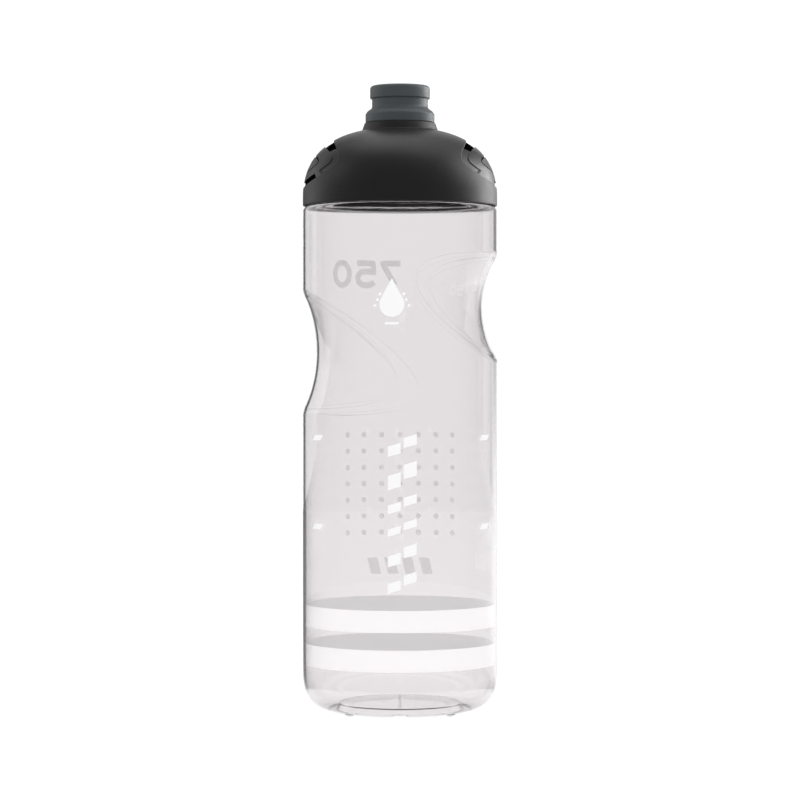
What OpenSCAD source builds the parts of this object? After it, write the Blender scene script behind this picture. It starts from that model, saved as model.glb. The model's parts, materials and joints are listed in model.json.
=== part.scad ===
// Squeeze bottle for a bicycle cage: clear blow-moulded body, screw cap and push-pull nozzle.
// Millimetres. The origin is on the axis, in the plane of the four feet. +Z is up, and -Y is the front.

/* [Body] */
// Outer radius of the barrel
body_r = 37; // [36:0.1:37.2]
// Height at which the shoulder begins to round in
shoulder_z = 189.5; // [189.1:0.1:189.5]
// Wall thickness of the body
wall = 1.2; // [0.9:0.1:1.4]
// Height of the four feet below the base ring
foot_h = 0.8; // [0.4:0.1:1.2]
// Distance of each foot from the axis
foot_at = 26.5; // [25:0.5:28]

/* [Grips] */
// Lean of the left grip groove, which is a ring cut round a leaning axis
left_tilt = 8.9; // [8:0.1:10]
// Height at which the left groove's axis crosses its offset
left_z = 122.8; // [120:0.1:126]
// How far the left groove's axis stands towards the right
left_off = 4.1; // [3.5:0.1:4.5]
// Waist radius of the left groove, from its own axis
left_waist = 36.9; // [36.5:0.1:37.5]
// Radius of the left groove's hollow, seen from the front
left_hollow = 50.7; // [48:0.1:56]
// Lean of the right grip groove
right_tilt = 11.5; // [10:0.1:13]
// Height at which the right groove's axis crosses its offset
right_z = 168.3; // [167:0.1:169]
// How far the right groove's axis stands towards the left
right_off = 6.4; // [6:0.1:6.6]
// Waist radius of the right groove, from its own axis
right_waist = 39.2; // [38.9:0.1:39.6]
// Radius of the right groove's hollow, seen from the front
right_hollow = 36.1; // [34:0.1:40]

/* [Neck and thread] */
// Outer radius of the neck
neck_r = 31.5; // [31.3:0.1:31.6]
// Radius of the mouth
mouth_r = 30; // [29:0.1:30.2]
// Height of the rim of the mouth
neck_top = 202.5; // [202:0.1:202.8]
// Rise of the two-start thread in one turn
lead = 8; // [7.6:0.1:8.4]

/* [Cap] */
// Outer radius of the cap's skirt
cap_r = 36.9; // [36.8:0.1:37.3]
// Height of the skirt's lower rim
cap_rim = 191.7; // [191.6:0.1:192]
// Rise of the dome above the top of the straight skirt
dome_h = 26.9; // [26.5:0.1:27.2]
// Thickness of the cap's wall
cap_wall = 1.8; // [1.6:0.1:2]
// Half length of each side window
window_w = 25.7; // [24.8:0.1:25.9]
// Rise of each side window above its two tips
window_up = 10.3; // [9.8:0.1:10.4]
// Fall of each side window below its tips
window_down = 8.1; // [7.8:0.1:8.3]

/* [Nozzle] */
// How far the nozzle pulls out
nozzle_travel = 5; // [3:0.5:5]
// Radius of the spout hole
spout_r = 3.35; // [3:0.05:3.6]
// Radius of the soft sleeve's top flange
sleeve_r = 11.35; // [11.1:0.05:11.8]

/* [Hidden] */
$fn = 180;

gap = 0.05;                         // running clearance between round sliding faces
base_z = 15;                        // top of the rounded base
base_ring = 25;                     // radius at which the base is lowest
base_power = 2.39;                  // squareness of the base's rounding
push_up_r = 22.2;                   // flat middle of the base, pushed up
push_up_z = 3.2;
shoulder_round = 1.9;
thread_depth = 1.3;
thread_clear = 0.3;                 // between crest and root of the two threads
thread_z = 194.4;                   // start of the body's thread
dome_z = 194.4;                     // top of the straight skirt
dome_power = 2.47;                  // squareness of the dome
dome_end = 70;                      // sweep of the dome, in degrees, up to the collar's fillet
window = [window_w, window_up, window_down];
window_z = 206.5;                   // height of the tips of the side windows
oval_power = 1.75;                  // below 2: the windows narrow to a blunt point at each end
window_step = 0.3;                  // width and depth of the sunk rim round each window
island = [window_w - 3.1, 7, 7.1];
island_z = 207.2;
island_depth = 0.2;
ledge_depth = 0.45;                 // depth of the ledge between a window's tips and the island
ledge_end = 21.5;                   // below the island it is level with it, this far each way
slot_depth = 0.7;                   // depth of the slots above and below each island
slot_half = 17.8;                   // half length of the upper slot
slot_start = 8.5;                   // the lower slot starts this far before the middle
engraved = [15.5, 3.7, 3.7];        // oval groove on each island
groove_w = 0.6;
groove_depth = 0.5;
liner_top = 205.6;
plate_z = neck_top + 1.5;           // underside of the liner's plate, above the gasket
liner_root_r = neck_r + thread_depth + thread_clear;
tube_r = 14.2;                      // guide tube inside the cap
bore_r = 12.4;
collar_top = 223.1;
collar_lip = 220;                   // underside of the lip that stops the nozzle
core_r = 11.42;
flange_top = collar_lip - nozzle_travel;
flange_r = bore_r - 0.2;
sleeve_bore = 9.3;
sleeve_bottom = collar_top + 0.1;
sleeve_top = 237.4;
core_top = 235.6;
plug_top = 236.4;

// Points of an arc about [x, z], from angle a to angle b.
function arc(x, z, r, a, b, n = 8) =
    [for (i = [0 : n]) let (t = a + (b - a) * i / n) [x + r * cos(t), z + r * sin(t)]];

// Points of a squared quarter ellipse about [x, z], with half axes a and b, between two angles.
function squared(x, z, a, b, power, from, to, n) =
    [for (i = [0 : n]) let (t = from + (to - from) * i / n)
        [x + a * pow(cos(t), 2 / power), z + b * pow(sin(t), 2 / power)]];

// An open outline moved sideways by t, to the left of its direction.
function inset(p, t) =
    [for (i = [0 : len(p) - 1])
        let (d = p[min(i + 1, len(p) - 1)] - p[max(i - 1, 0)], n = d / norm(d)) p[i] + t * [-n.y, n.x]];

function reversed(p) = [for (i = [len(p) - 1 : -1 : 0]) p[i]];

function signed_pow(x) = sign(x) * pow(abs(x), 2 / oval_power);

// A blunt-ended oval from its half length, its rise above the two tips and its fall below them.
function oval(size, n = 72) =
    [for (i = [0 : n - 1]) let (t = i * 360 / n, c = cos(t), s = sin(t))
        [size[0] * signed_pow(c), (s > 0 ? size[1] : size[2]) * signed_pow(s)]];

function shrunk(size, t) = [for (s = size) s - t];

function dome() = squared(0, dome_z, cap_r, dome_h, dome_power, 0, dome_end, 16);

// Solid body of revolution, t inside the outer face. The hollow (t > 0) runs out through the mouth.
module barrel(t, rim_r, rim_z) {
    foot = t > 0 ? t + 0.3 : 0;
    top = shoulder_z + shoulder_round - t;
    rotate_extrude() polygon(concat(
        [[0, push_up_z + foot], [push_up_r - t, push_up_z + foot], [base_ring - 1.4, foot_h + foot]],
        reversed(squared(base_ring, base_z, body_r - base_ring - t, foot_h + foot - base_z,
                         base_power, 0, 90, 14)),
        arc(body_r - shoulder_round, shoulder_z, shoulder_round - t, 0, 90, 6),
        [[rim_r + 0.7, top + 0.6], [rim_r, top + 1.3], [rim_r, rim_z - 0.4], [rim_r - 0.4, rim_z], [0, rim_z]]));
}

// A ring round a leaning axis, t larger all round than the hollow that it leaves in the barrel.
module grip_ring(off, z, tilt, waist, hollow, t) {
    translate([off, 0, z])
        rotate([0, tilt, 0])
            rotate_extrude()
                translate([waist + hollow, 0])
                    circle(r = hollow + t);
}

module grips(t) {
    grip_ring(left_off, left_z, left_tilt, left_waist, left_hollow, t);
    grip_ring(-right_off, right_z, right_tilt, right_waist, right_hollow, t);
}

// A helical ridge of trapezium section from radius root to radius crest, over an angle of sweep.
module ridge(root, crest, z, from, sweep) {
    step = 9;
    rings = sweep / step;
    section = [[root, -1.15], [crest, -0.6], [crest, 0.6], [root, 1.15]];
    points = [for (i = [0 : rings]) let (a = from + i * step, h = z + lead * i * step / 360)
        for (p = section) [p.x * cos(a), p.x * sin(a), h + p.y]];
    outward = crest > root;
    sides = [for (i = [0 : rings - 1]) for (k = [0 : 3])
        let (a = 4 * i + k, b = 4 * i + (k + 1) % 4) [a, b, b + 4, a + 4]];
    ends = [[3, 2, 1, 0], [for (k = [0 : 3]) 4 * rings + k]];
    faces = concat(sides, ends);
    polyhedron(points, outward ? faces : [for (f = faces) reversed(f)], 4);
}

module bottle_body() color([0.88, 0.89, 0.9, 0.5]) {
    difference() {
        difference() {
            barrel(0, neck_r, neck_top);
            grips(0);
        }
        difference() {
            barrel(wall, mouth_r, neck_top + 2);
            grips(wall);
        }
    }
    for (start = [0, 180])
        ridge(neck_r - 0.3, neck_r + thread_depth, thread_z, start, 270);
    for (a = [45 : 90 : 315])
        rotate([0, 0, a])
            translate([foot_at, 0, 0])
                cylinder(r1 = 1.3, r2 = 1.7, h = foot_h + 0.6);
}

// A layer of the cap's dome, between two depths below its outer face.
module dome_layer(outer, inner) {
    rotate_extrude() polygon(concat(inset(dome(), outer), reversed(inset(dome(), inner))));
}

// An oval bar along X through one side of the dome, with its tips at height z.
module side_bar(size, z) {
    translate([20, 0, z])
        rotate([90, 0, 90])
            linear_extrude(22)
                polygon(oval(size));
}

module windows() {
    intersection() {
        side_bar(window, window_z);
        dome_layer(-1, window_step);
    }
    side_bar(shrunk(window, window_step), window_z);
}

module cap_shell() color([0.09, 0.09, 0.1]) {
    outer = concat([[cap_r - 0.4, cap_rim], [cap_r, cap_rim + 0.4]], dome(),
                   [[14.7, 220.3], [14.35, 220.5], [14.15, 220.9], [13.6, collar_top - 0.2],
                    [13.4, collar_top]]);
    tube = [[core_r + 0.08, collar_top], [core_r + 0.08, collar_lip], [bore_r, collar_lip],
            [bore_r, plate_z], [tube_r, plate_z], [tube_r, dome_z + dome_h - cap_wall - 1.6]];
    difference() {
        rotate_extrude() polygon(concat(
            outer, tube, reversed(inset(dome(), cap_wall)), [[cap_r - cap_wall, cap_rim]]));
        windows();
        mirror([1, 0, 0]) windows();
    }
}

// The curved gap above and below an island. The lower one is shorter.
module slots() {
    difference() {
        intersection() {
            side_bar(shrunk(window, window_step), window_z);
            union() {
                translate([0, -slot_half, island_z]) cube([60, 2 * slot_half, 20]);
                translate([0, -slot_start, island_z - 20]) cube([60, slot_half + slot_start, 20]);
            }
        }
        side_bar(island, island_z);
    }
}

// The insert of the right window: a ledge round each tip, and an island with an engraved oval.
module side_insert() {
    outline = shrunk(window, window_step + gap);
    difference() {
        union() {
            intersection() {
                side_bar(outline, window_z);
                dome_layer(ledge_depth, cap_wall);
            }
            intersection() {
                union() {
                    side_bar(island, island_z);
                    intersection() {
                        side_bar(outline, window_z);
                        translate([0, -ledge_end, island_z - 20]) cube([60, 2 * ledge_end, 20]);
                    }
                }
                dome_layer(island_depth, cap_wall);
            }
        }
        intersection() {
            slots();
            dome_layer(-1, slot_depth);
        }
        intersection() {
            difference() {
                side_bar(engraved, island_z);
                side_bar(shrunk(engraved, groove_w), island_z);
            }
            dome_layer(-1, groove_depth);
        }
    }
}

module side_insert_right() color([0.08, 0.08, 0.085]) side_insert();

module side_insert_left() color([0.08, 0.08, 0.085]) rotate([0, 0, 180]) side_insert();

module cap_liner() color([0.13, 0.13, 0.14]) {
    skirt_r = cap_r - cap_wall - gap;
    skirt_end = cap_rim + 1.2;
    rotate_extrude()
        intersection() {
            polygon([[liner_root_r, skirt_end], [skirt_r - 0.4, skirt_end], [skirt_r, skirt_end + 0.5],
                     [cap_r, skirt_end + 1], [cap_r, liner_top], [tube_r + gap, liner_top],
                     [tube_r + gap, plate_z], [liner_root_r, plate_z]]);
            polygon(concat([[0, cap_rim], [skirt_r, cap_rim]], inset(dome(), cap_wall + gap)));
        }
    for (start = [90, 270])
        ridge(liner_root_r + 0.3, neck_r + thread_clear, thread_z, start, 270);
}

module cap_gasket() color([0.75, 0.75, 0.73]) {
    rotate_extrude() polygon([[mouth_r - 0.6, neck_top], [liner_root_r - 0.3, neck_top],
                              [liner_root_r - 0.3, plate_z], [mouth_r - 0.6, plate_z]]);
}

// Ring pressed into the guide tube, three arms, and the post whose plug closes the spout hole.
module valve_post() color([0.29, 0.32, 0.34]) {
    ring_z = plate_z + 0.4;
    ring_h = 2.4;
    ring_bore = 10.2;
    difference() {
        translate([0, 0, ring_z]) cylinder(r = bore_r, h = ring_h);
        translate([0, 0, ring_z - 1]) cylinder(r = ring_bore, h = ring_h + 2);
    }
    for (a = [90 : 120 : 330])
        rotate([0, 0, a])
            translate([1, -1, ring_z]) cube([ring_bore, 2, ring_h]);
    rotate_extrude() polygon([[0, ring_z], [3.2, ring_z], [3.2, ring_z + ring_h], [2.1, ring_z + 5],
        [2.1, plug_top - 5], [spout_r - gap, plug_top - 3.6], [spout_r - gap, plug_top - 0.5],
        [spout_r - 0.6, plug_top], [0, plug_top]]);
}

// Hard tube that slides in the cap. Its upper flange meets the collar's lip when pulled out.
module nozzle_core() color([0.33, 0.36, 0.38]) {
    rotate_extrude() polygon([
        [9.4, flange_top - 4.8], [flange_r, flange_top - 4.8], [flange_r, flange_top - 3.8],
        [10.5, flange_top - 3.8], [10.5, flange_top - 2], [flange_r, flange_top - 2],
        [flange_r, flange_top], [core_r, flange_top], [core_r, sleeve_bottom],
        [sleeve_bore, sleeve_bottom], [sleeve_bore, core_top], [7.8, core_top],
        [7.8, sleeve_bottom + 1], [9.4, sleeve_bottom - 1.4]]);
}

module nozzle_seal() color([0.1, 0.1, 0.1]) {
    rotate_extrude()
        translate([bore_r - gap - 0.9, flange_top - 2.9])
            circle(r = 0.9, $fn = 32);
}

// Soft sleeve over the core, with the spout hole in its top.
module nozzle_sleeve() color([0.29, 0.32, 0.33]) {
    foot_r = 13.1;
    waist_r = 10.6;
    foot_top = sleeve_bottom + 3.5;
    flange = sleeve_top - 4.95;
    rotate_extrude() polygon(concat(
        [[sleeve_bore, sleeve_bottom], [foot_r - 0.5, sleeve_bottom], [foot_r, sleeve_bottom + 0.5]],
        arc(foot_r - 0.9, foot_top - 0.9, 0.9, 0, 60, 4),
        reversed(arc(waist_r + 2.3, foot_top + 2.2, 2.3, 180, 245, 6)),
        [[waist_r, flange - 0.3], [sleeve_r - 0.3, flange], [sleeve_r, flange + 0.4]],
        arc(sleeve_r - 1.4, sleeve_top - 1.4, 1.4, 0, 90, 6),
        [[spout_r + 0.5, sleeve_top - 0.05], [spout_r, sleeve_top - 0.4], [spout_r, core_top],
         [sleeve_bore, core_top]]));
}

bottle_body();
cap_shell();
side_insert_left();
side_insert_right();
cap_liner();
cap_gasket();
valve_post();
nozzle_core();
nozzle_seal();
nozzle_sleeve();
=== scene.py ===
"""A clear squeeze bottle for a bicycle cage, built round its CAD frame, in mm until a mesh is made."""
import json
import math

import bmesh
import bpy
import numpy as np
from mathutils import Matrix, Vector

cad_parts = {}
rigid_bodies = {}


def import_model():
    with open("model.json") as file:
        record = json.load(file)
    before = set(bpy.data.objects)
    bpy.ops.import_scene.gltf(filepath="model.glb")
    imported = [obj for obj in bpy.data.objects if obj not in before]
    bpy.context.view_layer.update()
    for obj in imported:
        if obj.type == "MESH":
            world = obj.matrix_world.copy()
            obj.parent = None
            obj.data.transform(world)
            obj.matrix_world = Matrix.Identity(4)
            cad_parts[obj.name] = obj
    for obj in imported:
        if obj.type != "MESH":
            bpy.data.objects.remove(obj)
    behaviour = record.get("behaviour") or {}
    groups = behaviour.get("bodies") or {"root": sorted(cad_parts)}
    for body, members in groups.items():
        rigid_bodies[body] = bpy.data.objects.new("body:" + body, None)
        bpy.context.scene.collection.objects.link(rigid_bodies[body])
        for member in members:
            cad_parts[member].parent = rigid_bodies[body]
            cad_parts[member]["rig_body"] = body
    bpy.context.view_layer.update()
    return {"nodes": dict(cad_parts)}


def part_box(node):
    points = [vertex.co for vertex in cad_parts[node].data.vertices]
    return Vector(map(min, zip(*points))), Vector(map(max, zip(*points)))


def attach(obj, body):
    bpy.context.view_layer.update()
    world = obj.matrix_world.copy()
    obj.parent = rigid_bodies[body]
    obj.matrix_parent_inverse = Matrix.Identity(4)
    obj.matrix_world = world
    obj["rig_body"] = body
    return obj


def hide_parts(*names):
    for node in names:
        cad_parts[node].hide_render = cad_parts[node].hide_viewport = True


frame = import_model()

MM = 0.001
AROUND = 600                    # columns of the body's mesh
LATHE = 256                     # columns of the smaller turned pieces

body_low, body_high = (np.array(corner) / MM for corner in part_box("bottle_body"))
cap_low, cap_high = (np.array(corner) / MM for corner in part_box("cap_shell"))
sleeve_low, sleeve_high = (np.array(corner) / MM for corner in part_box("nozzle_sleeve"))

BARREL = body_high[0]           # radius of the barrel
HALF_WAY = math.pi * BARREL     # distance round the wall from the front to the back
RIM = body_high[2]              # height of the mouth's rim
WALL = 1.1
NECK = 31.5
MOUTH = 30.0
SHOULDER = 189.5                # height at which the shoulder starts to round in
SHOULDER_ROUND = 1.9
SHOULDER_THIN = 0.4             # the shoulder's wall as a share of WALL
LIP = 0.4                       # height of the rim's rounded lip
THREAD_START = 194.4
THREAD_DEPTH = 1.3
LEAD = 8.0
FOOT = 0.8                      # height of the feet
FOOT_AT = 26.5                  # their distance from the axis
FOOT_TOP = 0.8                  # radius of a foot's flat end, inside its blend of FOOT_BLEND
FOOT_BLEND = 1.6
BASE_TOP = 15.0                 # height at which the barrel starts to round in to the base
BASE_RING = 25.0
BASE_POWER = 2.39
BASE_THIN = 0.4                 # the base's wall as a share of WALL
PUSH_UP = 3.3                   # height of the base's pushed-up middle
PUSH_UP_TOP = 22.7              # its radius at the top, and where it meets the base
PUSH_UP_FOOT = 23.6

# Each grip is a ring cut round a leaning axis: offset, height, lean, waist radius and hollow radius.
GRIPS = [(4.1, 122.8, math.radians(8.9), 36.9, 50.7),
         (-6.4, 168.3, math.radians(11.5), 39.2, 36.1)]
GRIP_ZONE = (106.0, 180.0)
CHAMFER = 0.5                   # depth of the bevel round each grip
CREASE = 0.07                   # softness of the bevel's edges outside the wall
INNER_CREASE = 0.25             # and inside it

CAP = cap_high[0]
CAP_WALL = 1.8
COLLAR_HOLE = 11.5              # radius of the collar's hole, which stops the nozzle's flange
GUIDE_IN = 12.4                 # radii and ends of the tube that guides the nozzle
GUIDE_OUT = 14.2
GUIDE_TOP = 220.06
GUIDE_END = 204.0
GUIDE_ROOT = 218.0
DOME_Z = 194.4
DOME_H = 26.9
DOME_POWER = 2.47

# Ovals on the dome's sides: half length, rise above the two tips, fall below them and the tips' height.
WINDOW = np.array([25.7, 10.3, 8.4, 206.5])
ISLAND = np.array([22.6, 7.0, 6.7, 207.2])
ENGRAVED = np.array([15.5, 3.7, 3.7, 207.2])
SMALLER = np.array([1, 1, 1, 0])
OVAL_POWER = 1.75               # below 2: the ovals narrow to a blunt point at each end
EDGE_ROUND = 0.22               # rounding of each window's edge
ISLAND_DEPTH = 0.12
LEDGE_DEPTH = 0.42
SLOT_DEPTH = 0.65
UPPER_SLOT = (-0.78, 0.78)      # cosines of the oval's angle where each slot starts and ends
LOWER_SLOT = (-0.37, 0.75)
LEDGE_START = 0.84              # below the island the ledge starts to sink at this cosine


# ---------------------------------------------------------------- outlines

def arc(x, z, r, start, end, n):
    """Points of an arc about (x, z), with angles in degrees."""
    t = np.radians(np.linspace(start, end, n))
    return np.column_stack([x + r * np.cos(t), z + r * np.sin(t)])


def squared(x, z, a, b, power, start, end, n):
    """Points of a squared quarter ellipse about (x, z)."""
    t = np.radians(np.linspace(start, end, n))
    return np.column_stack([x + a * np.cos(t).clip(0) ** (2 / power),
                            z + b * np.sin(t).clip(0) ** (2 / power)])


def rounded(points, radius, n=5):
    """A closed outline with each corner rounded. radius is one number, or one for each corner."""
    points = np.array(points, float)
    radii = np.broadcast_to(radius, len(points))
    out = []
    for i, (p, r) in enumerate(zip(points, radii)):
        before, after = points[i - 1] - p, points[(i + 1) % len(points)] - p
        lb, la = np.linalg.norm(before), np.linalg.norm(after)
        ub, ua = before / lb, after / la
        half = math.acos(np.clip(ub @ ua, -1, 1)) / 2
        if r <= 0 or half > math.radians(86):
            out.append(p)
            continue
        cut = min(r / math.tan(half), 0.45 * lb, 0.45 * la)
        t = np.linspace(0, 1, n)[:, None]
        start, end = p + ub * cut, p + ua * cut
        out.extend((1 - t) ** 2 * start + 2 * t * (1 - t) * p + t ** 2 * end)
    return np.array(out)


def evenly(points, step):
    """An open outline with points added so that none is further than step from the next."""
    out = [points[0]]
    for a, b in zip(points[:-1], points[1:]):
        n = max(1, math.ceil(np.linalg.norm(b - a) / step))
        out.extend(a + (b - a) * k / n for k in range(1, n + 1))
    return np.array(out)


# ---------------------------------------------------------------- meshes

def mesh_object(name, points, faces, sharp=None):
    """A smooth-shaded mesh from points in millimetres. Edges steeper than sharp degrees stay crisp."""
    mesh = bpy.data.meshes.new(name)
    mesh.from_pydata((np.asarray(points) * MM).tolist(), [], [list(map(int, f)) for f in faces])
    mesh.validate()
    edit = bmesh.new()
    edit.from_mesh(mesh)
    bmesh.ops.recalc_face_normals(edit, faces=edit.faces)
    edit.to_mesh(mesh)
    edit.free()
    obj = bpy.data.objects.new(name, mesh)
    bpy.context.scene.collection.objects.link(obj)
    mesh.shade_smooth()
    if sharp is not None:
        mesh.set_sharp_from_angle(angle=math.radians(sharp))
    return obj


def ring_faces(rings, columns, closed_loop=False):
    """Quads between rings of points, each ring closed on itself."""
    i = np.arange(rings if closed_loop else rings - 1)[:, None]
    j = np.arange(columns)[None, :]
    k, up = (j + 1) % columns, (i + 1) % rings
    corners = [i * columns + j, i * columns + k, up * columns + k, up * columns + j]
    return np.stack(corners, -1).reshape(-1, 4)


def turned(name, outline, columns=LATHE, sharp=None):
    """A solid of revolution from a closed outline of (radius, height) points that stays off the axis."""
    t = 2 * np.pi * np.arange(columns) / columns
    r, z = outline[:, 0, None], outline[:, 1, None]
    points = np.stack([r * np.sin(t), -r * np.cos(t), z + 0 * t], -1).reshape(-1, 3)
    return mesh_object(name, points, ring_faces(len(outline), columns, True), sharp)


def smooth_step(x):
    x = np.clip(x, 0, 1)
    return x * x * (3 - 2 * x)


def soft_max(a, b, k):
    return 0.5 * (a + b + np.sqrt((a - b) ** 2 + k * k))


# ---------------------------------------------------------------- bottle body

def grip_radius(angle, z, grip, grow):
    """Distance from the bottle's axis to a grip's hollow, or far outside where there is none."""
    offset, height, lean, waist, hollow = grip
    cos, sin = math.cos(lean), math.sin(lean)

    def outside(r):
        x, y = r * np.sin(angle) - offset, -r * np.cos(angle)
        across, along = cos * x - sin * (z - height), sin * x + cos * (z - height)
        return np.hypot(np.hypot(across, y) - waist - hollow, along) - hollow - grow

    low, high = np.full(np.shape(z + angle), 24.0), np.full(np.shape(z + angle), 46.0)
    missed = outside(high) > 0
    for _ in range(36):
        middle = (low + high) / 2
        inside = outside(middle) > 0
        low, high = np.where(inside, middle, low), np.where(inside, high, middle)
    return np.where(missed, 60.0, low)


def grip_depth(angle, z, inset=0.0, bevel=CHAMFER, crease=CREASE):
    """How far the wall stands in from the barrel: a bevel leads from the barrel into each hollow."""
    depth = np.zeros(np.shape(z + angle))
    for grip in GRIPS:
        cut = BARREL - inset - grip_radius(angle, z, grip, inset)
        cut = soft_max(cut, (cut + bevel) / 2, crease)
        depth = np.maximum(depth, soft_max(cut, 0, crease) - crease / 2)
    return depth


def crease_lines(angle, z):
    """Distances on the outer wall to the two edges of a grip's bevel, and how plain those edges are."""
    cut = BARREL - np.minimum(*(grip_radius(angle, z, grip, 0.0) for grip in GRIPS))
    down, across = np.gradient(cut, z[:, 0], BARREL * (angle[0, 1] - angle[0, 0]))
    slope = np.hypot(down, across).clip(0.02)
    return (cut + CHAMFER) / slope, (cut - CHAMFER) / slope, smooth_step((slope - 0.05) / 0.3)


def body_radius(angle, z):
    """Outer radius of the body at a place on the barrel or in a grip."""
    return BARREL - grip_depth(angle, z)


def upright(r, start, end, step):
    """A straight stretch of outline at one radius, without its first point."""
    return evenly(np.array([(r, start), (r, end)]), step)[1:]


def body_outline(t):
    """Outline from the middle of the base up to the neck, t inside the outer face of the barrel."""
    foot = FOOT + BASE_THIN * t
    push_up = foot + PUSH_UP - FOOT
    neck = MOUTH if t else NECK
    base = rounded([(0, push_up), (PUSH_UP_TOP + 0.3 * t, push_up - 0.1),
                    (PUSH_UP_FOOT + 0.5 * t, foot + 0.4), (BASE_RING + 2.4, foot)], [0, 0.5, 0.8, 0], 8)
    wall = BARREL - t
    corner = squared(BASE_RING, BASE_TOP, wall - BASE_RING, foot - BASE_TOP, BASE_POWER, 0, 90, 44)[::-1]
    corner = corner[corner[:, 0] > BASE_RING + 2.5]
    low, high = GRIP_ZONE
    turn = SHOULDER_ROUND - SHOULDER_THIN * t
    top = SHOULDER + turn
    throat = rounded([(neck + 3, top + 0.05), (neck + 0.7, top + 0.5), (neck, top + 1.3), (neck, top + 2)],
                     0.4)
    return np.vstack([
        evenly(base, 0.8), corner,
        upright(wall, BASE_TOP, low, 8), upright(wall, low, high, 0.3), upright(wall, high, SHOULDER, 5)[:-1],
        arc(wall - turn, SHOULDER, turn, 0, 90, 9), evenly(throat, 0.6),
        upright(neck, top + 2, RIM - LIP, 1.0 if t else 0.25)])


def thread_ridge(angle, z):
    """Height of the two-start thread above the neck."""
    out = np.zeros(np.shape(z + angle))
    turn = np.mod(np.degrees(angle) - 90, 360)
    for start in (0, 180):
        for lap in (0, 360):
            sweep = turn - start + lap
            from_crest = np.abs(z - THREAD_START - LEAD * sweep / 360)
            ends = smooth_step(sweep / 12) * smooth_step((270 - sweep) / 12)
            out = np.maximum(out, THREAD_DEPTH * ends * smooth_step((1.2 - from_crest) / 0.65))
    return out


def moulded_base(x, y, z):
    """Heights under the base with its four feet, the notches and the line of the mould's parting plane."""
    for turn in np.radians([45, 135, 225, 315]):
        away = np.hypot(x - FOOT_AT * math.sin(turn), y + FOOT_AT * math.cos(turn))
        z = z * (1 - smooth_step((FOOT_TOP + FOOT_BLEND - away) / FOOT_BLEND))
    notch = 0.4 * smooth_step((3.8 - np.abs(x)) / 2.6) * smooth_step((np.abs(y) - 20) / 3)
    line = 0.04 * smooth_step((0.5 - np.abs(x)) / 0.4) * smooth_step((34 - np.abs(y)) / 3)
    return z + np.where(z < 2, notch, 0) - line


def softened(grid):
    """A grid of depths averaged with its neighbours in both directions, twice."""
    for _ in range(2):
        beside = grid / 2 + (np.roll(grid, 1, 1) + np.roll(grid, -1, 1)) / 4
        grid = beside / 2 + (np.roll(beside, 1, 0) + np.roll(beside, -1, 0)) / 4
    return grid


def store_creases(obj, angle, z, on_grips):
    """Stores crease_lines with the mesh. on_grips numbers the rings that lie on the grips' outer face."""
    for name, values, elsewhere in zip(("upper_crease", "lower_crease", "crease_strength"),
                                       crease_lines(angle, z[on_grips]), (9.0, 9.0, 0.0)):
        kept = np.full((len(z), AROUND), elsewhere)
        kept[on_grips] = values
        kept = np.append(kept.ravel(), [elsewhere, elsewhere])
        made = obj.data.attributes.new(name, "FLOAT", "POINT")
        made.data.foreach_set("value", kept.astype(np.float32))


def bottle_body():
    outer, inner = body_outline(0), body_outline(WALL)
    lip = rounded([(NECK, RIM - LIP), (NECK, RIM), (MOUTH, RIM), (MOUTH, RIM - LIP)], [0, 0.35, 0.35, 0])
    outline = np.vstack([outer, lip[1:-1], inner[::-1]])
    angle = 2 * np.pi * np.arange(AROUND)[None, :] / AROUND
    r, z = outline[:, 0, None], outline[:, 1, None]
    is_outer = (np.arange(len(outline)) < len(outer))[:, None]
    grips = np.where(is_outer, grip_depth(angle, z), grip_depth(angle, z, WALL, crease=INNER_CREASE))
    on_wall = (z > GRIP_ZONE[0]) & (z < GRIP_ZONE[1])
    r = r - np.where(on_wall, softened(grips), 0)
    r = r + np.where(is_outer & (z > SHOULDER + 3), thread_ridge(angle, z), 0)
    x, y = r * np.sin(angle), -r * np.cos(angle)
    shaped_z = np.where(is_outer & (z < BASE_TOP), moulded_base(x, y, z), z)

    # The first and last rings lie on the axis, so a single point takes each one's place.
    points = np.stack([x, y, shaped_z], -1)
    rings = points[1:-1]
    count = len(rings) * AROUND
    last = count - AROUND
    all_points = np.vstack([rings.reshape(-1, 3), points[0, :1], points[-1, :1]])
    j = np.arange(AROUND)
    k = (j + 1) % AROUND
    faces = ring_faces(len(rings), AROUND).tolist()
    faces += np.stack([k, j, np.full(AROUND, count)], -1).tolist()
    faces += np.stack([last + j, last + k, np.full(AROUND, count + 1)], -1).tolist()
    obj = mesh_object("clear_body", all_points, faces)
    store_creases(obj, angle, z[1:-1], np.flatnonzero((is_outer & on_wall)[1:-1, 0]))
    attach(obj, "bottle")
    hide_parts("bottle_body")
    # The feet get an opaque pale grey in place of the clear plastic: painted light, standing in for the light
    # that passes through the clear feet.
    paint(obj, clear_plastic(), moulded("feet_painted_light", (0.68, 0.665, 0.67), 0.35))
    foot_x = FOOT_AT / math.sqrt(2)
    for face in obj.data.polygons:
        x, y, z = face.center / MM
        if z < 1.3 and math.hypot(abs(x) - foot_x, abs(y) - foot_x) < 2.0:
            face.material_index = 1


# ---------------------------------------------------------------- printing

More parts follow.
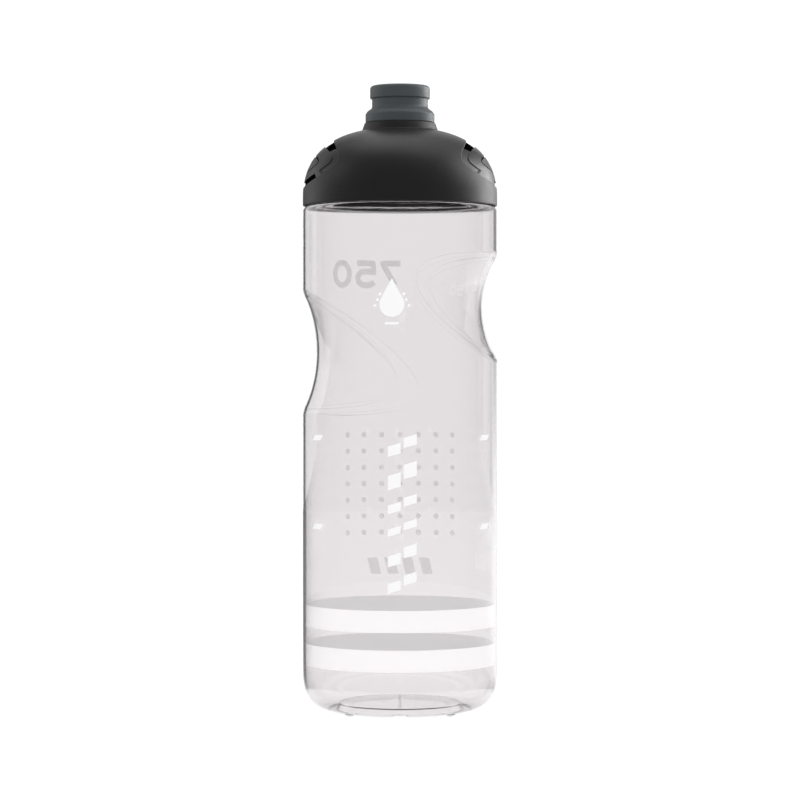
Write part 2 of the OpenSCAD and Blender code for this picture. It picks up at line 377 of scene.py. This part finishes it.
def printed(name, patches, lift=0.02, thick=0.03):
    """Ink on the body. Each patch is (points, faces) with points as (distance round, height) on the wall."""
    all_points, all_faces, faces_in, first = [], [], [], 0
    for points, faces in patches:
        angle, z = np.array(points)[:, 0] / BARREL, np.array(points)[:, 1]
        r = body_radius(angle, z)
        edges = {(a, b) for f in faces for a, b in zip(f, f[1:] + f[:1])}
        border = [(a, b) for a, b in edges if (b, a) not in edges]
        n = len(points)
        for out in (lift + thick, lift):
            all_points.append(np.column_stack([(r + out) * np.sin(angle), -(r + out) * np.cos(angle), z]))
        all_faces += [[first + i for i in f] for f in faces]
        faces_in += range(len(all_faces), len(all_faces) + len(faces))
        all_faces += [[first + n + i for i in reversed(f)] for f in faces]
        all_faces += [[first + b, first + a, first + n + a, first + n + b] for a, b in border]
        first += 2 * n
    obj = mesh_object(name, np.vstack(all_points), all_faces, sharp=40)
    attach(obj, "bottle")
    paint(obj, white_ink_painted_glow, ink_from_behind_painted_glow)
    for i in faces_in:
        obj.data.polygons[i].material_index = 1


def oval_points(u, z, half_width, half_height, n):
    """n points round an ellipse on the unrolled wall."""
    return [(u + half_width * math.cos(t), z + half_height * math.sin(t))
            for t in 2 * np.pi * np.arange(n) / n]


def grid_patch(corners, across, up):
    """A four-sided patch between corners, in order round it, cut into across by up cells."""
    a, b, c, d = (np.array(p, float) for p in corners)
    points = [(a * (1 - s) + b * s) * (1 - t) + (d * (1 - s) + c * s) * t
              for t in np.linspace(0, 1, up + 1) for s in np.linspace(0, 1, across + 1)]
    w = across + 1
    faces = [[j * w + i, j * w + i + 1, (j + 1) * w + i + 1, (j + 1) * w + i]
             for j in range(up) for i in range(across)]
    return points, faces


def fan_patch(middle, outline, rings=3):
    """A patch that fills a closed outline about its middle."""
    middle, outline = np.array(middle, float), np.array(outline, float)
    n = len(outline)
    points = [middle] + [middle + (p - middle) * k / rings for k in range(1, rings + 1) for p in outline]
    faces = [[0, 1 + i, 1 + (i + 1) % n] for i in range(n)]
    faces += [[1 + (k - 1) * n + i, 1 + k * n + i, 1 + k * n + (i + 1) % n, 1 + (k - 1) * n + (i + 1) % n]
              for k in range(1, rings) for i in range(n)]
    return points, faces


def stroke_patch(path, width, closed=False):
    """A band of even width along a path."""
    path = np.array(path, float)
    if closed:
        ahead, behind = np.roll(path, -1, 0), np.roll(path, 1, 0)
    else:
        ahead, behind = np.vstack([path[1:], path[-1:]]), np.vstack([path[:1], path[:-1]])
    along = ahead - behind
    side = np.column_stack([-along[:, 1], along[:, 0]]) / np.linalg.norm(along, axis=1)[:, None]
    points = np.hstack([path + side * width / 2, path - side * width / 2]).reshape(-1, 2)
    n = len(path)
    faces = [[2 * i, 2 * i + 1, (2 * i + 3) % (2 * n), (2 * i + 2) % (2 * n)]
             for i in range(n if closed else n - 1)]
    return list(points), faces


def band(name, low, high):
    """A printed band all the way round, on the wall's inner face."""
    r = BARREL - WALL - 0.04
    outline = rounded([(r, low), (r, high), (r - 0.04, high), (r - 0.04, low)], 0)
    obj = turned(name, outline, AROUND, sharp=40)
    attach(obj, "bottle")
    paint(obj, band_ink_painted_glow, band_from_behind_painted_glow)
    for face in obj.data.polygons[2 * AROUND:3 * AROUND]:
        face.material_index = 1


def front_emblem():
    """A drop over a short bar, with three dots on each side."""
    drop_z, drop_u, drop_r = 153.6, -3.0, 4.6
    drop = [(drop_u + drop_r * math.cos(t), drop_z + drop_r * math.sin(t))
            for t in np.radians(np.linspace(150, 390, 40))]
    tip = (drop_u, drop_z + 9.6)
    right_side = [np.array(drop[-1]) + (np.array(tip) - drop[-1]) * s for s in np.linspace(0.1, 1, 8)]
    left_side = [np.array(tip) + (np.array(drop[0]) - tip) * s for s in np.linspace(0.1, 0.95, 8)]
    emblem = [fan_patch((drop_u, drop_z), drop + right_side + left_side, 4)]
    emblem += [grid_patch([(drop_u - 2.6, 146.2), (drop_u + 2.6, 146.2), (drop_u + 2.6, 147.1),
                           (drop_u - 2.6, 147.1)], 4, 1)]
    for side in (-1, 1):
        for k in range(3):
            u, z = drop_u + side * (6.3 - 0.95 * k), 153.2 + 2.1 * k
            emblem.append(fan_patch((u, z), oval_points(u, z, 0.55, 0.55, 16), 1))
    printed("front_emblem", emblem)


def front_bars():
    """Six pairs of slanted bars up the front."""
    bars = []
    for low, high in ((47.3, 55.4), (57.0, 65.8), (68.2, 74.8), (76.5, 84.0), (85.3, 96.1), (97.6, 106.0)):
        rise = 0.62 * (high - low)
        for left, right, lift in ((-4.5, 0.3, 0.0), (1.4, 6.2, 0.38)):
            foot = low + lift * (high - low)
            bars.append(grid_patch([(left, foot), (right, foot + 1.4), (right, foot + rise),
                                    (left, foot + rise - 1.4)], 6, 4))
    printed("front_bars", bars)


def side_ticks():
    """Two short slanted ticks, one above the other, on each side."""
    ticks = [grid_patch([(u - 3.7, z - 1), (u + 1.8, z - 1), (u + 3.7, z + 1), (u - 1.8, z + 1)], 6, 2)
             for u in (-36.2, 37.8) for z in (71.2, 104.3)]
    printed("side_ticks", ticks)


def back_dots():
    """A grid of dots, seven by seven."""
    across, up, lowest, radius = 7.4, 6.38, 65.8, 1.06
    dots = [(HALF_WAY + across * i, lowest + up * j) for i in range(-3, 4) for j in range(7)]
    printed("back_dots", [fan_patch((u, z), oval_points(u, z, radius, radius, 20), 2) for u, z in dots])


def back_figure():
    """A plain capacity figure, 750, for a reader behind the bottle."""
    z0, tall, wide, stroke = 162.65, 8.7, 7.2, 2.3
    left = HALF_WAY - 0.2
    seven = [(left, z0 + tall), (left + wide, z0 + tall), (left + 2.2, z0)]
    second = left + wide + 3.6
    five = [(second + wide, z0 + tall), (second + 0.4, z0 + tall), (second, z0 + tall * 0.58)]
    five += [(second + wide * 0.45 + wide * 0.52 * math.cos(t), z0 + tall * 0.32 + tall * 0.32 * math.sin(t))
             for t in np.radians(np.linspace(110, -150, 18))]
    third = second + wide + 3.6 + wide / 2
    figure = [stroke_patch(evenly(np.array(path), 1.0), stroke) for path in (seven, five)]
    figure.append(stroke_patch(oval_points(third, z0 + tall / 2, wide / 2, tall / 2, 32), stroke, True))
    printed("back_figure", figure)


def back_bars():
    """Four slanted bars in a row."""
    bars = []
    for k in range(4):
        u = HALF_WAY - 13.4 + 7.0 * k
        bars.append(grid_patch([(u, 49.4), (u + 4.2, 49.4), (u + 5.8, 55.8), (u + 1.6, 55.8)], 5, 4))
    printed("back_bars", bars)


# ---------------------------------------------------------------- cap

def dome_point(y, z, depth):
    """A point on the dome's right side, at (y, z) as seen from that side, sunk by depth along the normal."""
    up = np.clip((z - DOME_Z) / DOME_H, 0, 1)
    r = CAP * (1 - up ** DOME_POWER) ** (1 / DOME_POWER)
    x = np.sqrt(np.maximum(r * r - y * y, 0))
    out = (r / CAP) ** (DOME_POWER - 1) / CAP
    rise = up ** (DOME_POWER - 1) / DOME_H
    n = np.stack([out * x / r, out * y / r, rise], -1)
    n /= np.linalg.norm(n, axis=-1)[..., None]
    return np.stack([x, y, z + 0 * y], -1) - np.reshape(depth, (-1, 1)) * n


def oval_ring(oval, depth, columns):
    """An oval on the right side of the dome, depth below the dome's face."""
    t = 2 * np.pi * np.arange(columns) / columns
    c, s = (np.sign(v) * np.abs(v) ** (2 / OVAL_POWER) for v in (np.cos(t), np.sin(t)))
    return dome_point(oval[0] * c, oval[3] + np.where(s > 0, oval[1], oval[2]) * s, depth)


def window_cutter(side):
    """A plug that cuts one window through the dome and rounds its edge."""
    columns = 192
    middle_z = WINDOW[3] + 1.0
    middle = np.array([0, 0, 0, middle_z])
    rings = [oval_ring(middle + (WINDOW + SMALLER - middle) * k, -0.6, columns)
             for k in (0.25, 0.5, 0.75, 0.9)]
    rings.append(oval_ring(WINDOW + 0.6 * SMALLER, -0.09, columns))
    for turn in np.radians([0, 25, 50, 75, 90]):
        rings.append(oval_ring(WINDOW - EDGE_ROUND * math.sin(turn) * SMALLER,
                               EDGE_ROUND * (1 - math.cos(turn)), columns))
    rings.append(oval_ring(WINDOW - EDGE_ROUND * SMALLER, CAP_WALL + 2.5, columns))
    ends = [dome_point(np.zeros(1), np.full(1, middle_z), depth) for depth in (-0.6, 6.5)]
    points = np.vstack(rings + ends)
    points[:, 0] *= side
    faces = ring_faces(len(rings), columns).tolist()
    last, count = (len(rings) - 1) * columns, len(rings) * columns
    for j in range(columns):
        k = (j + 1) % columns
        faces += [[k, j, count], [last + j, last + k, count + 1]]
    return mesh_object("cutter", points, faces)


def cap_shell():
    dome = squared(0, DOME_Z, CAP, DOME_H, DOME_POWER, 0, 70, 60)
    d = np.gradient(dome, axis=0)
    n = np.column_stack([d[:, 1], -d[:, 0]]) / np.linalg.norm(d, axis=1)[:, None]
    inside = dome - CAP_WALL * n
    top, rim = cap_high[2], cap_low[2]
    outer = rounded([(CAP - CAP_WALL, rim), (CAP, rim), (CAP, DOME_Z - 1)], [0, 0.35, 0])[:-1]
    collar = rounded([dome[-1], (14.45, dome[-1][1] + 0.25), (14.1, 221.2), (13.45, top), (COLLAR_HOLE, top),
                      (COLLAR_HOLE, top - 2)], [0, 0.5, 0.8, 0.35, 0.3, 0], 6)
    tube = [(COLLAR_HOLE, GUIDE_TOP), (GUIDE_IN, GUIDE_TOP), (GUIDE_IN, GUIDE_END), (GUIDE_OUT, GUIDE_END),
            (GUIDE_OUT, GUIDE_ROOT)]
    outline = np.vstack([outer, [(CAP, DOME_Z - 1)], dome[:-1], collar, tube, inside[::-1]])
    obj = turned("cap_dome", outline, AROUND)
    for side in (1, -1):
        cutter = window_cutter(side)
        cut = obj.modifiers.new("window", "BOOLEAN")
        cut.operation, cut.solver, cut.object = "DIFFERENCE", "EXACT", cutter
        bpy.context.view_layer.objects.active = obj
        bpy.ops.object.modifier_apply(modifier=cut.name)
        bpy.data.objects.remove(cutter)
    obj.data.shade_smooth()
    obj.data.set_sharp_from_angle(angle=math.radians(28))
    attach(obj, "cap")
    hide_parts("cap_shell")
    return obj


def side_insert(side, node):
    """A window's insert: an engraved island, a ledge round each tip, and a curved slot above and below. The
    groove and the slots are painted near black, without reflection: painted shade for their depth.
    """
    columns = 384
    hole = WINDOW - (EDGE_ROUND + 0.03) * SMALLER
    groove = ISLAND_DEPTH + 0.3
    edge = 2 * np.pi * np.arange(columns) / columns
    sunk = np.where(np.sin(edge) > 0, 1, smooth_step((np.abs(np.cos(edge)) - LEDGE_START) / 0.04))
    ledge = ISLAND_DEPTH + (LEDGE_DEPTH - ISLAND_DEPTH) * sunk
    steps = [(ENGRAVED * [0.4, 0.4, 0.4, 1], ISLAND_DEPTH), (ENGRAVED - 0.68 * SMALLER, ISLAND_DEPTH),
             (ENGRAVED - 0.6 * SMALLER, groove), (ENGRAVED - 0.08 * SMALLER, groove),
             (ENGRAVED, ISLAND_DEPTH), ((ENGRAVED + ISLAND) / 2, ISLAND_DEPTH),
             (ISLAND - 0.2 * SMALLER, ISLAND_DEPTH),
             (ISLAND - 0.05 * SMALLER, ISLAND_DEPTH + 0.03), (ISLAND, ISLAND_DEPTH + 0.1),
             (ISLAND + 0.02 * SMALLER, ledge), (ISLAND + (hole - ISLAND) * 0.4, ledge), (hole, ledge)]
    in_groove, at_slot = 2, 8               # rings where the groove and the slots start
    tops = [oval_ring(oval, depth, columns) for oval, depth in steps]
    floors = [oval_ring(oval, SLOT_DEPTH, columns) for oval, _ in steps]
    bottoms = [oval_ring(oval, CAP_WALL, columns) for oval, _ in steps]
    rings = len(steps)
    low, under = rings * columns, 2 * rings * columns
    points = np.vstack(tops + floors + bottoms + [dome_point(np.zeros(1), ISLAND[3:], depth)
                                                  for depth in (ISLAND_DEPTH, CAP_WALL)])
    middle = 2 * np.pi * (np.arange(columns) + 0.5) / columns
    along, upper = np.cos(middle), np.sin(middle) > 0
    slotted = np.where(upper, (along > UPPER_SLOT[0]) & (along < UPPER_SLOT[1]),
                       (along > LOWER_SLOT[0]) & (along < LOWER_SLOT[1]))
    # dark numbers the faces of the groove and the slots, which get the near-black painted shade.
    faces, dark = [], []
    for i in range(rings - 1):
        for j in range(columns):
            k = (j + 1) % columns
            a, b, c, e = i * columns + j, i * columns + k, (i + 1) * columns + k, (i + 1) * columns + j
            is_slot = i >= at_slot and slotted[j]
            top = low if is_slot else 0
            if is_slot or i == in_groove:
                dark.append(len(faces))
            faces.append([top + a, top + b, top + c, top + e])
            faces.append([under + e, under + c, under + b, under + a])
            if i == at_slot and slotted[j]:
                dark.append(len(faces))
                faces.append([a, b, low + b, low + a])
            if i == rings - 2:
                faces.append([top + e, top + c, under + c, under + e])
            if i >= at_slot and slotted[j] != slotted[k]:
                dark.append(len(faces))
                faces.append([b, c, low + c, low + b])
    for j in range(columns):
        k = (j + 1) % columns
        faces += [[k, j, len(points) - 2], [under + j, under + k, len(points) - 1]]
    points[:, :2] *= side
    used = np.zeros(len(points), bool)
    used[np.concatenate([np.array(f) for f in faces])] = True
    index = np.cumsum(used) - 1
    name = "insert_right" if side > 0 else "insert_left"
    obj = mesh_object(name, points[used], [index[f] for f in faces], sharp=32)
    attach(obj, "cap")
    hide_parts(node)
    paint(obj, insert_plastic, recess_painted_shade)
    for i in dark:
        obj.data.polygons[i].material_index = 1


def nozzle_sleeve():
    low, top, wide = sleeve_low[2], sleeve_high[2], 11.35
    outline = rounded([(9.32, low), (13.1, low), (13.1, low + 3.3), (12.3, low + 4.4), (10.6, low + 5.6),
                       (10.6, low + 9.0), (wide, low + 9.25), (wide, top - 0.12), (3.35, top),
                       (3.35, top - 1.8), (9.32, top - 1.8)],
                      [0.2, 0.4, 0.9, 0.8, 1.6, 0.25, 0.45, 1.5, 0.35, 0.1, 0.1], 9)
    obj = turned("sleeve", outline, sharp=50)
    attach(obj, "nozzle")
    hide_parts("nozzle_sleeve")
    return obj


# ---------------------------------------------------------------- materials

def material(name, color, roughness, **inputs):
    """A Principled material. Returns its node tree and shader too."""
    made = bpy.data.materials.new(name)
    made.use_nodes = True
    shader = made.node_tree.nodes["Principled BSDF"]
    shader.inputs["Base Color"].default_value = (*color, 1)
    shader.inputs["Roughness"].default_value = roughness
    for key, value in inputs.items():
        shader.inputs[key.replace("_", " ")].default_value = value
    return made, made.node_tree, shader


def noise(tree, scale, detail=3.0, rough=0.5):
    """Noise in the piece's own space, with scale in cells a metre."""
    place = tree.nodes.new("ShaderNodeTexCoord")
    made = tree.nodes.new("ShaderNodeTexNoise")
    made.inputs["Scale"].default_value = scale
    made.inputs["Detail"].default_value = detail
    made.inputs["Roughness"].default_value = rough
    tree.links.new(place.outputs["Object"], made.inputs["Vector"])
    return made.outputs["Fac"]


def spread(tree, value, low, high):
    """value from 0.3 to 0.7 spread over low to high."""
    made = tree.nodes.new("ShaderNodeMapRange")
    made.inputs["From Min"].default_value = 0.3
    made.inputs["From Max"].default_value = 0.7
    made.inputs["To Min"].default_value = low
    made.inputs["To Max"].default_value = high
    tree.links.new(value, made.inputs["Value"])
    return made.outputs["Result"]


def tint(tree, value, dark, light):
    made = tree.nodes.new("ShaderNodeMix")
    made.data_type = "RGBA"
    made.inputs["A"].default_value = (*dark, 1)
    made.inputs["B"].default_value = (*light, 1)
    tree.links.new(value, made.inputs["Factor"])
    return made.outputs["Result"]


def bump(tree, shader, height, distance, strength=1.0):
    made = tree.nodes.new("ShaderNodeBump")
    made.inputs["Strength"].default_value = strength
    made.inputs["Distance"].default_value = distance
    tree.links.new(height, made.inputs["Height"])
    tree.links.new(made.outputs["Normal"], shader.inputs["Normal"])


def arithmetic(tree, operation, a, b):
    made = tree.nodes.new("ShaderNodeMath")
    made.operation = operation
    for socket, value in zip(made.inputs, (a, b)):
        if isinstance(value, (int, float)):
            socket.default_value = value
        else:
            tree.links.new(value, socket)
    return made.outputs["Value"]


def crease_line(tree, name, width=0.16):
    """A thin line where a distance stored with the mesh passes zero."""
    stored = tree.nodes.new("ShaderNodeAttribute")
    stored.attribute_name = name
    away = arithmetic(tree, "ABSOLUTE", stored.outputs["Fac"], 0)
    made = tree.nodes.new("ShaderNodeMapRange")
    made.interpolation_type = "SMOOTHSTEP"
    for key, value in (("From Min", width / 2), ("From Max", width), ("To Min", 1.0), ("To Max", 0.0)):
        made.inputs[key].default_value = value
    tree.links.new(away, made.inputs["Value"])
    return made.outputs["Result"]


def clear_plastic():
    color = (0.9, 0.882, 0.891)
    made, tree, shader = material("clear_plastic", color, 0.02, Transmission_Weight=1.0, IOR=1.46)
    mottle = noise(tree, 60)
    tree.links.new(spread(tree, mottle, 0.012, 0.035), shader.inputs["Roughness"])
    # The bevel round each grip has two edges. Along each one, painted shade darkens the plastic's colour in a
    # thin line, in place of the line that refraction makes at the edge.
    shade = arithmetic(tree, "MAXIMUM", crease_line(tree, "upper_crease"), crease_line(tree, "lower_crease"))
    strength = tree.nodes.new("ShaderNodeAttribute")
    strength.attribute_name = "crease_strength"
    shade = arithmetic(tree, "MULTIPLY", shade, strength.outputs["Fac"])
    tree.links.new(tint(tree, shade, color, [c * 0.8 for c in color]), shader.inputs["Base Color"])
    return made


def moulded(name, color, roughness, grain_scale=4200, grain=2.5e-5, **inputs):
    """Matt moulded plastic or rubber: a fine grain, with slow changes in gloss and colour."""
    made, tree, shader = material(name, color, roughness, **inputs)
    cloud = noise(tree, 55)
    tree.links.new(spread(tree, cloud, roughness - 0.05, roughness + 0.05), shader.inputs["Roughness"])
    darker, lighter = [c * 0.9 for c in color], [c * 1.12 for c in color]
    tree.links.new(tint(tree, noise(tree, 260, 4), darker, lighter), shader.inputs["Base Color"])
    bump(tree, shader, noise(tree, grain_scale, 2), grain)
    return made


def ink(name, color, glow):
    """Ink with a painted glow, light of its own in place of the light that the clear wall carries into it."""
    made, tree, shader = material(name, color, 0.45, Emission_Color=(1, 1, 1, 1))
    tree.links.new(spread(tree, noise(tree, 900), 0.38, 0.55), shader.inputs["Roughness"])
    cover = noise(tree, 1500)
    tree.links.new(tint(tree, cover, [c * 0.975 for c in color], color), shader.inputs["Base Color"])
    tree.links.new(spread(tree, cover, glow * 0.975, glow), shader.inputs["Emission Strength"])
    bump(tree, shader, noise(tree, 2500, 2), 4e-6)
    return made


def paint(obj, *made):
    obj.data.materials.clear()
    for each in made:
        obj.data.materials.append(each)


# ---------------------------------------------------------------- stage

def level(tree, plain, mirrored):
    """A brightness for the room: plain, but mirrored once it has been reflected by something glossy."""
    path = tree.nodes.new("ShaderNodeLightPath")
    made = tree.nodes.new("ShaderNodeMapRange")
    made.inputs["To Min"].default_value = plain
    if isinstance(mirrored, float):
        made.inputs["To Max"].default_value = mirrored
    else:
        tree.links.new(mirrored, made.inputs["To Max"])
    tree.links.new(path.outputs["Glossy Depth"], made.inputs["Value"])
    return made.outputs["Result"]


def ramp(tree, value, start, end, low=0.0, high=1.0):
    made = tree.nodes.new("ShaderNodeMapRange")
    for key, number in (("From Min", start), ("From Max", end), ("To Min", low), ("To Max", high)):
        made.inputs[key].default_value = number
    tree.links.new(value, made.inputs["Value"])
    return made.outputs["Result"]


def places(tree):
    place = tree.nodes.new("ShaderNodeTexCoord")
    part = tree.nodes.new("ShaderNodeSeparateXYZ")
    tree.links.new(place.outputs["Object"], part.inputs["Vector"])
    return part.outputs


def floor_in_mirrors(tree):
    """The floor's brightness in reflections: bright below the bottle, and behind it but for the far left."""
    x, y, _ = places(tree)
    right = arithmetic(tree, "ADD", x, arithmetic(tree, "MULTIPLY", y, 0.18))
    right = ramp(tree, right, -0.06, -0.04)
    behind = arithmetic(tree, "DIVIDE", y, arithmetic(tree, "ADD", arithmetic(tree, "ABSOLUTE", x, 0), 0.02))
    behind = ramp(tree, behind, 0.0, 1.0)
    away = arithmetic(tree, "ADD", arithmetic(tree, "MULTIPLY", x, x), arithmetic(tree, "MULTIPLY", y, y))
    below = arithmetic(tree, "LESS_THAN", away, 0.0036)
    lit = arithmetic(tree, "MAXIMUM", below, arithmetic(tree, "MULTIPLY", right, behind))
    return ramp(tree, lit, 0.0, 1.0, 0.12, 0.97)


def sweep_in_mirrors(tree):
    """The sweep's brightness in reflections: it falls off on its right side, from the bottom up."""
    x, _, z = places(tree)
    off = arithmetic(tree, "MULTIPLY", ramp(tree, x, 0.52, 0.58), ramp(tree, z, 0.02, 0.24))
    return ramp(tree, off, 0.0, 1.0, 1.0, 0.2)


def studio():
    world = bpy.data.worlds.new("studio")
    bpy.context.scene.world = world
    world.use_nodes = True
    tree = world.node_tree
    back = tree.nodes["Background"]
    back.inputs["Color"].default_value = (1, 1, 1, 1)
    tree.links.new(level(tree, 1.0, 0.12), back.inputs["Strength"])
    world.cycles.sampling_method = "NONE"

    half = 4000
    floor = mesh_object("floor", [(-half, -half, 0), (half, -half, 0), (half, half, 0), (-half, half, 0)],
                        [[0, 1, 2, 3]])
    sweep = mesh_object("sweep", [(-460, 1500, 0), (1100, 1500, 0), (1100, 1500, 2000), (-460, 1500, 2000)],
                        [[0, 1, 2, 3]])
    sides = mesh_object("side_glow", [(x, 1500, z) for x in (-3000, -800, 1100, 3000) for z in (0, 2000)],
                        [[0, 2, 3, 1], [4, 6, 7, 5]])
    for obj, plain, mirrored in ((floor, 0.97, floor_in_mirrors), (sweep, 1.0, sweep_in_mirrors),
                                 (sides, 1.0, None)):
        made, tree, shader = material(obj.name, (0.06, 0.06, 0.06), 0.9, Emission_Color=(1, 1, 1, 1))
        in_mirrors = mirrored(tree) if mirrored else 0.65
        tree.links.new(level(tree, plain, in_mirrors), shader.inputs["Emission Strength"])
        made.cycles.emission_sampling = "NONE"
        paint(obj, made)


def softbox(name, place, target, size, radiance):
    data = bpy.data.lights.new(name, "AREA")
    data.shape = "RECTANGLE"
    data.size, data.size_y = size
    data.energy = math.pi * size[0] * size[1] * radiance
    obj = bpy.data.objects.new(name, data)
    bpy.context.scene.collection.objects.link(obj)
    obj.location = place
    obj.rotation_euler = (Vector(target) - Vector(place)).to_track_quat("-Z", "Y").to_euler()
    obj.visible_camera = False
    return obj


def lights():
    dark_pieces = bpy.data.collections.new("dark_pieces")
    for obj in bpy.data.objects:
        if obj.get("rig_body") in ("cap", "nozzle_ring", "nozzle") or obj.name == "floor":
            dark_pieces.objects.link(obj)
    for made in (softbox("top", (0.1, 0.3, 1.9), (0, 0, 0.15), (2.2, 1.6), 1.25),
                 softbox("right_high", (1.3, 0.2, 0.9), (0, 0, 0.2), (0.8, 0.8), 3.4),
                 softbox("left_high", (-1.3, 0.0, 0.9), (0, 0, 0.2), (0.8, 0.6), 0.9),
                 softbox("right_low", (1.07, 0.75, 0.35), (0, 0, 0.21), (0.8, 0.8), 5.0),
                 softbox("left_low", (-1.2, 0.45, 0.3), (0, 0, 0.21), (0.7, 0.7), 0.7)):
        made.light_linking.receiver_collection = dark_pieces


def camera():
    data = bpy.data.cameras.new("camera")
    data.lens, data.sensor_width = 124.7, 36.0
    data.clip_start, data.clip_end = 0.05, 50
    obj = bpy.data.objects.new("camera", data)
    bpy.context.scene.collection.objects.link(obj)
    obj.location = (0, -1.0534, 0.1291)
    obj.rotation_euler = (math.radians(90 - 0.599), 0, 0)
    bpy.context.scene.camera = obj


# ---------------------------------------------------------------- assembly

camera()
studio()
bpy.context.scene.view_settings.view_transform = "Standard"
bpy.context.scene.view_settings.look = "None"

bottle_body()
# Each print has one ink for each face. The inks share one white, but each has its own glow: painted light,
# standing in for the light that reaches that face through the clear wall.
ink_color = (0.9, 0.9, 0.9)
white_ink_painted_glow, ink_from_behind_painted_glow = ink("white_ink_painted_glow", ink_color, 0.06), ink("ink_from_behind_painted_glow", ink_color, 0.63)
band_ink_painted_glow, band_from_behind_painted_glow = ink("band_ink_painted_glow", ink_color, 0.69), ink("band_from_behind_painted_glow", ink_color, 0.29)
front_emblem()
front_bars()
side_ticks()
back_dots()
back_figure()
back_bars()
band("upper_band", 32.8, 40.9)
band("lower_band", 18.2, 26.3)

paint(cap_shell(), moulded("cap_plastic", (0.010, 0.0095, 0.0095), 0.45))
insert_plastic = moulded("insert_plastic", (0.012, 0.012, 0.0125), 0.36, 3000, 1.5e-5)
# Painted shade for the groove and the slots: near black, with no specular reflection.
recess_painted_shade = moulded("recess_painted_shade", (0.001, 0.001, 0.001), 0.8, Specular_IOR_Level=0.0)
side_insert(1, "side_insert_right")
side_insert(-1, "side_insert_left")
paint(nozzle_sleeve(), moulded("nozzle_rubber", (0.050, 0.060, 0.064), 0.5, 5200, 1.5e-5))

nodes = frame["nodes"]
paint(nodes["cap_liner"], moulded("liner_plastic", (0.02, 0.02, 0.021), 0.4))
paint(nodes["cap_gasket"], moulded("gasket_rubber", (0.55, 0.55, 0.53), 0.5))
valve_plastic = moulded("valve_plastic", (0.07, 0.085, 0.095), 0.4)
paint(nodes["valve_post"], valve_plastic)
paint(nodes["nozzle_core"], valve_plastic)
paint(nodes["nozzle_seal"], moulded("seal_rubber", (0.02, 0.02, 0.02), 0.6))

lights()
